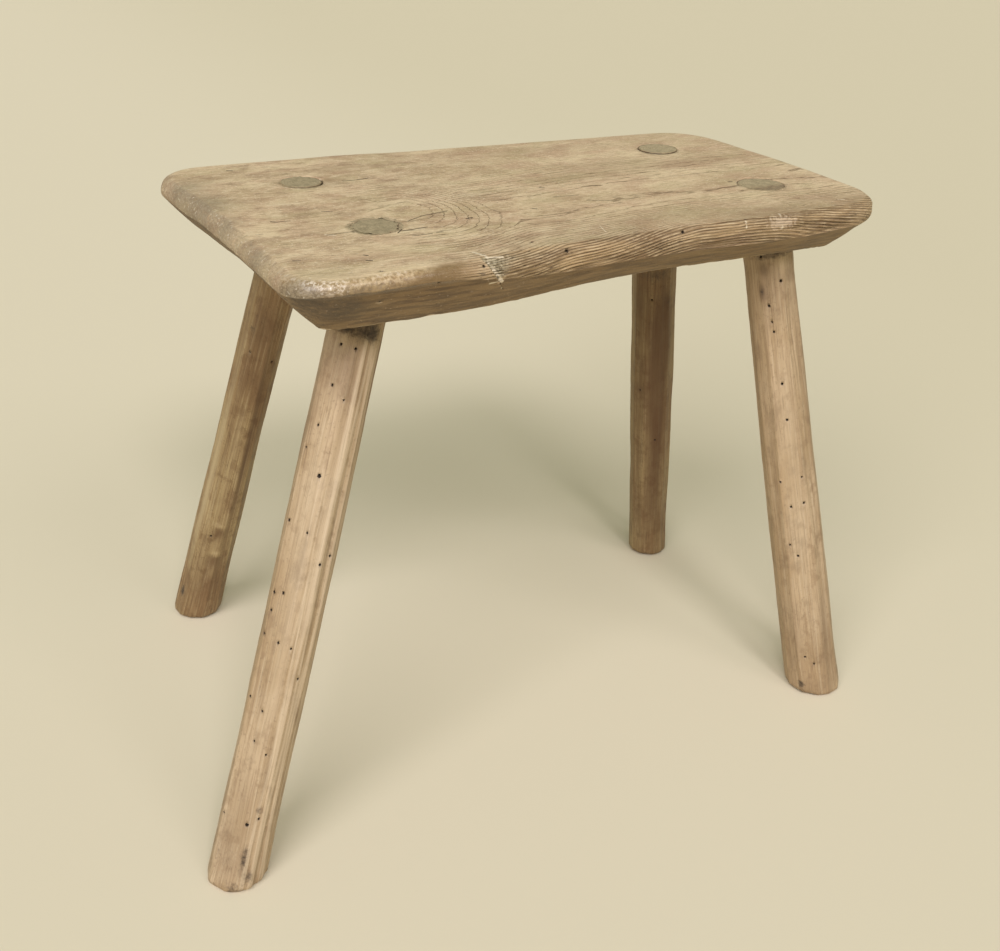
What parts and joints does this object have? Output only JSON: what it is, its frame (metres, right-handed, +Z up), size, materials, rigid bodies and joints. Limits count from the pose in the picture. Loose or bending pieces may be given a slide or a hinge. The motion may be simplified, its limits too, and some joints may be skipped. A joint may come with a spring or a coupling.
{
  "type": "stool",
  "caption": "Small country stool: a thick hewn slab seat with a bevelled underside, on splayed round legs whose tenons pass right through the seat.",
  "frame": {"origin": "on the floor, under the middle of the whole stool's bounding box", "axes": "+X along the seat to the right, +Y from the front edge to the back edge, +Z up"},
  "size_m": [0.5066, 0.334, 0.382],
  "materials": {
    "seat_wood": "old bare softwood, worn smooth on top, with raised grain along the front edge",
    "pale_leg_wood": "pale bare wood, shaved by hand, with small round worm holes",
    "brown_leg_wood": "darker bare wood, shaved by hand, with a few knots and worm holes"
  },
  "bodies": {
    "root": {"seat": "seat_wood", "leg_front_left": "pale_leg_wood", "leg_back_left": "brown_leg_wood", "leg_back_right": "brown_leg_wood", "leg_front_right": "pale_leg_wood"}
  },
  "joints": []
}
